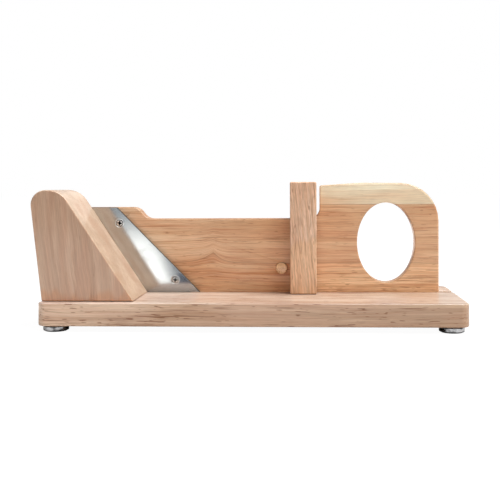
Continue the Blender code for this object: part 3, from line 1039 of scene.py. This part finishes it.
@dataclass
class Screw:
    """A steel screw with a cross recess in its head.

    Attributes:
        look: Material of the screw.
        painted_recess_shade: Dark material inside the recess and in the groove by the head's rim:
            painted shade.
        shank_radius: Radius of the shank.
        countersunk: Whether the head is a cone under a flat top, or a low pan.
        gap: Room left round the head.
        head_height: Height of a pan head.
        dome: How far the middle of the head stands out from its rim.
        groove: Depth of the groove near the head's rim.
        point: Width of the point's end, as a share of the shank's.
        recess: Half length of the recess's arms, width and depth, as shares of the radius.
        taper: Size of the recess's floor along an arm and across it.
        turn: How far the arms are turned, in degrees.
        corners: Corners round the head.
        smooth: Sharpest angle, in degrees, that is still drawn round.
    """

    look: Look
    painted_recess_shade: Look
    shank_radius: float
    countersunk: bool = True
    gap: float = 0.0
    head_height: float = 1.9 * MM
    dome: float = 0.35 * MM
    groove: float = 0.3 * MM
    point: float = 0.12
    recess: Triple = (0.74, 0.46, 0.5)
    taper: Pair = (0.45, 0.6)
    turn: float = 8.0
    corners: int = 40
    smooth: float = 35.0

    def build(self, node: str, body: str, axis: Axis = Axis.UP) -> None:
        """Makes the screw that stands for a node, in the node's box.

        Args:
            node: The node's name.
            body: The body that it rides on.
            axis: The way that its point goes.
        """
        way = axis.value
        low, high = (Vector(corner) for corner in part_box(node))
        radius = (high.x - low.x) / 2 - self.gap
        piece = cylinder(node + "_cross", radius, 0.0, self.dome, self.corners)
        dress(piece, self.look)
        piece.data.materials.append(self.painted_recess_shade)
        bpy.ops.object.mode_set(mode="EDIT")
        self._shape(piece, radius, high[way] - low[way] - self.dome)
        # The groove's faces take the dark material: painted shade
        pick(piece, lambda face: self._in_groove(face, radius))
        piece.active_material_index = 1
        bpy.ops.object.material_slot_assign()
        bpy.ops.object.mode_set(mode="OBJECT")
        self._cut_cross(piece, radius)
        soften(piece, self.smooth)
        place = (low + high) / 2
        place[way] = low[way] + self.dome
        settle(piece, place, [float(part == way) for part in range(3)])
        take_part(piece, body, node)

    def _shape(self, piece: Piece, radius: float, length: float) -> None:
        """Draws the head, the shank and the point out of a disc.

        Args:
            piece: The disc in edit mode.
            radius: Radius of the head.
            length: Length from the head's rim to the point.
        """
        neck = radius - self.shank_radius
        pick(piece, looks_up)
        if self.countersunk:
            raise_faces(neck, self.shank_radius / radius)
            used = self.dome + neck
        else:
            raise_faces(self.head_height - self.dome)
            bpy.ops.mesh.inset(thickness=neck)
            used = self.head_height
        raise_faces(length - used - self.shank_radius)
        raise_faces(self.shank_radius, self.point)
        pick(piece, looks_down)
        for width, dome_share, groove_share in HEAD_RINGS:
            rise = dome_share * self.dome + groove_share * self.groove
            bpy.ops.mesh.inset(thickness=width * radius)
            bpy.ops.transform.translate(value=(0, 0, -rise))

    def _in_groove(self, face: bmesh.types.BMFace, radius: float) -> bool:
        """Whether a face of a head of a radius lies in its groove."""
        middle, (inner, outer) = face.calc_center_median(), GROOVE_BAND
        return inner < middle.xy.length / radius < outer and middle.z < self.groove * 1.1

    def _cut_cross(self, piece: Piece, radius: float) -> None:
        """Cuts the two tapered arms of the recess into the head.

        Args:
            piece: The screw.
            radius: Radius of the head.
        """
        reach, width, depth = (radius * share for share in self.recess)
        for turn in (self.turn, self.turn + 90.0):
            bpy.ops.object.select_all(action="DESELECT")
            bpy.ops.mesh.primitive_cube_add(size=1.0, location=(0, 0, 0))
            arm = bpy.context.object
            arm.scale = (2 * reach, width, 2 * depth)
            bpy.ops.object.transform_apply(scale=True)
            # The cut faces take the dark material: painted shade in the recess
            dress(arm, self.painted_recess_shade)
            bpy.ops.object.mode_set(mode="EDIT")
            pick(arm, looks_up)
            bpy.ops.transform.resize(value=(*self.taper, 1.0), center_override=(0, 0, depth))
            bpy.ops.object.mode_set(mode="OBJECT")
            arm.rotation_euler = (0, 0, math.radians(turn))
            bpy.ops.object.transform_apply(rotation=True)
            only(piece)
            modifier = piece.modifiers.new("Recess", "BOOLEAN")
            modifier.operation = "DIFFERENCE"
            modifier.solver = "EXACT"
            modifier.material_mode = "TRANSFER"
            modifier.object = arm
            bpy.ops.object.modifier_apply(modifier=modifier.name)
            bpy.data.objects.remove(arm, do_unlink=True)


@dataclass
class Foot:
    """A pressed steel cup over a rubber ring, held by a screw."""

    metal: Look
    rubber: Look
    screw: Screw
    radius: float = 11.0 * MM
    top: float = 5.2 * MM
    lip: float = 0.5 * MM
    wall: float = 1.4 * MM
    depth: float = 3.2 * MM
    gap: float = 0.3 * MM
    lip_round: float = 0.9 * MM
    top_round: float = 1.3 * MM
    steps: int = 5
    corners: tuple[int, int] = (72, 64)
    smooth: float = 40.0

    def build(self, corner: str, body: str) -> None:
        """Builds and dresses one foot.

        Args:
            corner: Which foot, as in the nodes' names.
            body: The body that it rides on.
        """
        low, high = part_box("foot_cup_" + corner)
        middle = (Vector(low) + Vector(high)) / 2
        pieces = (
            (self._cup("foot_shell_" + corner), self.metal, "foot_cup_", "foot_chrome"),
            (self._ring("foot_ring_" + corner), self.rubber, "foot_pad_", "black_rubber"),
        )
        for piece, look, node, slot in pieces:
            settle(piece, (middle.x, middle.y, 0.0), (0, 0, 1))
            dress(piece, look)
            take_part(piece, body, node + corner)
        self.screw.build("foot_screw_" + corner, body)

    def _cup(self, name: str) -> Piece:
        """A cup that is open below, with a rolled rim.

        Args:
            name: Its name.

        Returns:
            The new piece, at the origin.
        """
        cup = cylinder(name, self.radius, self.lip, self.top - self.lip, self.corners[0])
        bpy.ops.object.mode_set(mode="EDIT")
        pick(cup, looks_down)
        bpy.ops.mesh.inset(thickness=self.wall)
        raise_faces(self.depth)
        for level, width in ((self.lip, self.lip_round), (self.top, self.top_round)):
            pick(cup, lambda edge: self._on_rim(edge, level), Kind.EDGES)
            bpy.ops.mesh.bevel(offset=width, segments=self.steps)
        bpy.ops.object.mode_set(mode="OBJECT")
        soften(cup, self.smooth)
        return cup

    def _on_rim(self, edge: bmesh.types.BMEdge, level: float) -> bool:
        """Whether both ends of an edge lie on the cup's outside at a level."""
        return all(
            vert.co.xy.length > self.radius * 0.98 and abs(vert.co.z - level) < SAME_LEVEL
            for vert in edge.verts
        )

    def _ring(self, name: str) -> Piece:
        """A rubber ring with a groove round the face that it stands on.

        Args:
            name: Its name.

        Returns:
            The new piece, at the origin.
        """
        radius = self.radius - self.wall - self.gap
        ring = cylinder(name, radius, 0.0, self.lip + self.depth - self.gap, self.corners[1])
        bpy.ops.object.mode_set(mode="EDIT")
        pick(ring, looks_down)
        for width, rise, scale in RUBBER_RINGS:
            bpy.ops.mesh.inset(thickness=width * MM)
            if rise:
                raise_faces(rise * MM, scale)
        bpy.ops.object.mode_set(mode="OBJECT")
        soften(ring, self.smooth)
        return ring


@dataclass
class Stand:
    """The base board with its block, gate, feet and the screws from below."""

    body: str = "stand"
    boards: tuple[Skin, ...] = (
        Skin("base_board", "base_board_wood", "base_wood", BASE_WOOD, rises=True),
        Skin("front_block", "front_block_wood", "block_wood", BLOCK_WOOD, rises=True),
        Skin("gate_post", "gate_post_wood", "gate_wood", GATE_WOOD, rises=True),
    )
    screws: tuple[str, ...] = (
        "block_screw_left", "block_screw_right", "gate_screw_front", "gate_screw_back",
    )
    corners: tuple[str, ...] = ("front_left", "front_right", "back_left", "back_right")
    screw_shank: float = 2.2 * MM
    foot_shank: float = 1.9 * MM

    def build(self) -> None:
        """Builds and dresses every piece of the stand."""
        for board in self.boards:
            board.build(self.body)
        looks = (SCREW_STEEL.material(), RECESS_SHADE.material())
        for node in self.screws:
            Screw(*looks, self.screw_shank).build(node, self.body)
        screw = Screw(*looks, self.foot_shank, countersunk=False)
        foot = Foot(FOOT_STEEL.material(), Rubber().material(), screw)
        for corner in self.corners:
            foot.build(corner, self.body)


@dataclass
class Slider:
    """The sliding board with its grip, peg, blade, shim and blade screws."""

    body: str = "slider"
    edge_run: float = 78.8 * MM
    screw_gap: float = 0.06 * MM
    shank: float = 1.9 * MM
    flat: float = 5.0

    def build(self) -> None:
        """Builds and dresses every piece of the slider."""
        low, high = (Vector(corner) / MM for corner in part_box("blade"))
        edge = Edge(high.x, low.z, self.edge_run / MM, high.z - low.z)
        # The blade's steel gets shade painted along its edge, top and bottom
        steel = replace(BLADE_STEEL, edge=edge)
        skins = (
            Skin("slider_board", "slider_board_wood", "slider_wood", SLIDER_WOOD, rises=True),
            Skin("guide_peg", "guide_peg_wood", "dowel_wood", DOWEL_WOOD),
            Skin("blade", "blade_plate", "polished_steel", steel, self.flat),
            Skin("blade_shim", "shim_plate", "plain_steel", SHIM_STEEL, self.flat),
        )
        for skin in skins:
            skin.build(self.body)
        looks = (SCREW_STEEL.material(), RECESS_SHADE.material())
        for node in ("blade_screw_upper", "blade_screw_lower"):
            Screw(*looks, self.shank, gap=self.screw_gap).build(node, self.body, Axis.BACK)


@dataclass(frozen=True)
class Lamp:
    """A square soft lamp."""

    name: str
    place: Triple
    size: float
    power: float
    target: Triple = (0.0, 0.0, 0.05)

    def build(self) -> None:
        """Hangs the lamp."""
        data = bpy.data.lights.new(self.name, "AREA")
        data.shape = "SQUARE"
        data.size = self.size
        data.energy = self.power
        lamp = bpy.data.objects.new(self.name, data)
        bpy.context.scene.collection.objects.link(lamp)
        lamp.location = self.place
        lamp.rotation_mode = "QUATERNION"
        aim = Vector(self.target) - Vector(self.place)
        lamp.rotation_quaternion = aim.to_track_quat("-Z", "Y")


@dataclass
class Floor:
    """A plane that shows white but keeps a faint shadow. Mirrors see the room's light on it."""

    size: float = 24.0
    drop: float = 0.01 * MM
    paper: Colour = (0.55, 0.55, 0.55)
    glow: Colour = (1.2, 1.2, 1.2)
    seen: float = 0.8
    seen_through_glass: float = 0.9

    def build(self) -> None:
        """Lays the floor."""
        bpy.ops.object.select_all(action="DESELECT")
        bpy.ops.mesh.primitive_plane_add(size=self.size, location=(0, 0, -self.drop))
        bpy.ops.object.transform_apply(location=True)
        floor = bpy.context.object
        floor.name = floor.data.name = "floor"
        dress(floor, self._material())

    def _material(self) -> Look:
        """Makes the floor's material.

        Returns:
            A new material, paper in part and glowing in part.
        """
        made = bpy.data.materials.new("white_floor")
        graph = Graph(made)
        glossy = graph.ray("Glossy")
        across, away, _ = graph.place_mm()
        room = graph.mix(away.between(*FAR_TO_NEAR), FAR_FLOOR, NEAR_FLOOR)
        over = across - away * STRIP_SLANT
        start, full, end, gone = STRIP_EDGES
        room = graph.mix(over.between(start, full) * over.between(gone, end), room, STRIP)
        wide, deep = PAPER_SIZE
        ellipse = graph.math("SQRT", (across / wide) ** 2.0 + (away / deep) ** 2.0)
        share = graph.ray("Camera") * self.seen + glossy * ellipse.between(*PAPER_EDGE)
        share = share + graph.ray("Transmission") * self.seen_through_glass
        share = graph.math("MINIMUM", share, 1.0)
        colour = graph.mix(glossy, self.glow, room)
        paper = graph.node("BsdfDiffuse", {"Color": (*self.paper, 1.0)})
        light = graph.node("Emission", {"Color": colour, "Strength": 1.0})
        surface = graph.node("MixShader", {0: share, 1: paper, 2: light})
        graph.node("OutputMaterial", {"Surface": surface})
        return made


@dataclass
class Sky:
    """An even sky that lights dimly and is white to the camera. Mirrors see a room in it."""

    light: float = 0.39
    turn: Pair = (-0.3, 0.3)

    def build(self) -> None:
        """Sets the world."""
        world = bpy.data.worlds.new("studio")
        bpy.context.scene.world = world
        graph = Graph(world)
        glossy = graph.ray("Glossy")
        seen = graph.ray("Camera") + glossy + graph.ray("Transmission")
        bright = graph.math("MINIMUM", seen, 1.0)
        _, behind, rise = graph.split(graph.node("TexCoord", output="Generated"))
        rooms = (graph.ramp(FRONT_ROOM, rise), graph.ramp(BACK_ROOM, rise))
        colour = graph.mix(glossy, PLAIN, graph.mix(behind.between(*self.turn), *rooms))
        strength = self.light + bright * (1.0 - self.light)
        background = graph.node("Background", {"Color": colour, "Strength": strength})
        graph.node("OutputWorld", {"Surface": background})


@dataclass
class Camera:
    """A level camera in front of the base, a little to the right of its middle."""

    place: Triple = (0.05168, -0.75905, 0.1235)
    yaw: float = 2.572
    pitch: float = -0.496
    roll: float = -0.204
    lens: float = 59.075
    sensor: float = 36.0
    shift: Pair = (-0.04, -0.1095)
    clip: Pair = (0.01, 50.0)

    def build(self) -> None:
        """Sets the camera up."""
        data = bpy.data.cameras.new("camera")
        data.sensor_width = self.sensor
        data.lens = self.lens
        data.shift_x, data.shift_y = self.shift
        data.clip_start, data.clip_end = self.clip
        camera = bpy.data.objects.new("camera", data)
        bpy.context.scene.collection.objects.link(camera)
        pose = Matrix.Translation(self.place)
        for angle, axis in ((self.yaw, "Z"), (90.0 + self.pitch, "X"), (self.roll, "Z")):
            pose = pose @ Matrix.Rotation(math.radians(angle), 4, axis)
        camera.matrix_world = pose
        bpy.context.scene.camera = camera


@dataclass
class Studio:
    """A white floor and backdrop, soft light and the camera."""

    parts: tuple[Floor | Sky | Lamp | Camera, ...] = (
        Floor(),
        Sky(),
        Lamp("top_light", (0.6, -0.2, 1.5), 1.0, 43.0),
        Lamp("front_light", (2.5, -3.1, 0.9), 2.2, 3.0),
        Camera(),
    )

    def build(self) -> None:
        """Builds the studio and sets how its colours are shown."""
        for part in self.parts:
            part.build()
        bpy.context.scene.view_settings.view_transform = "Standard"
        log.info("stage, light and camera are set")


def main() -> None:
    """Builds the part in order, then its stage."""
    logging.basicConfig(level=logging.INFO, format="%(message)s")
    for part in (Stand(), Slider(), Studio()):
        part.build()


if __name__ == "__main__":
    main()
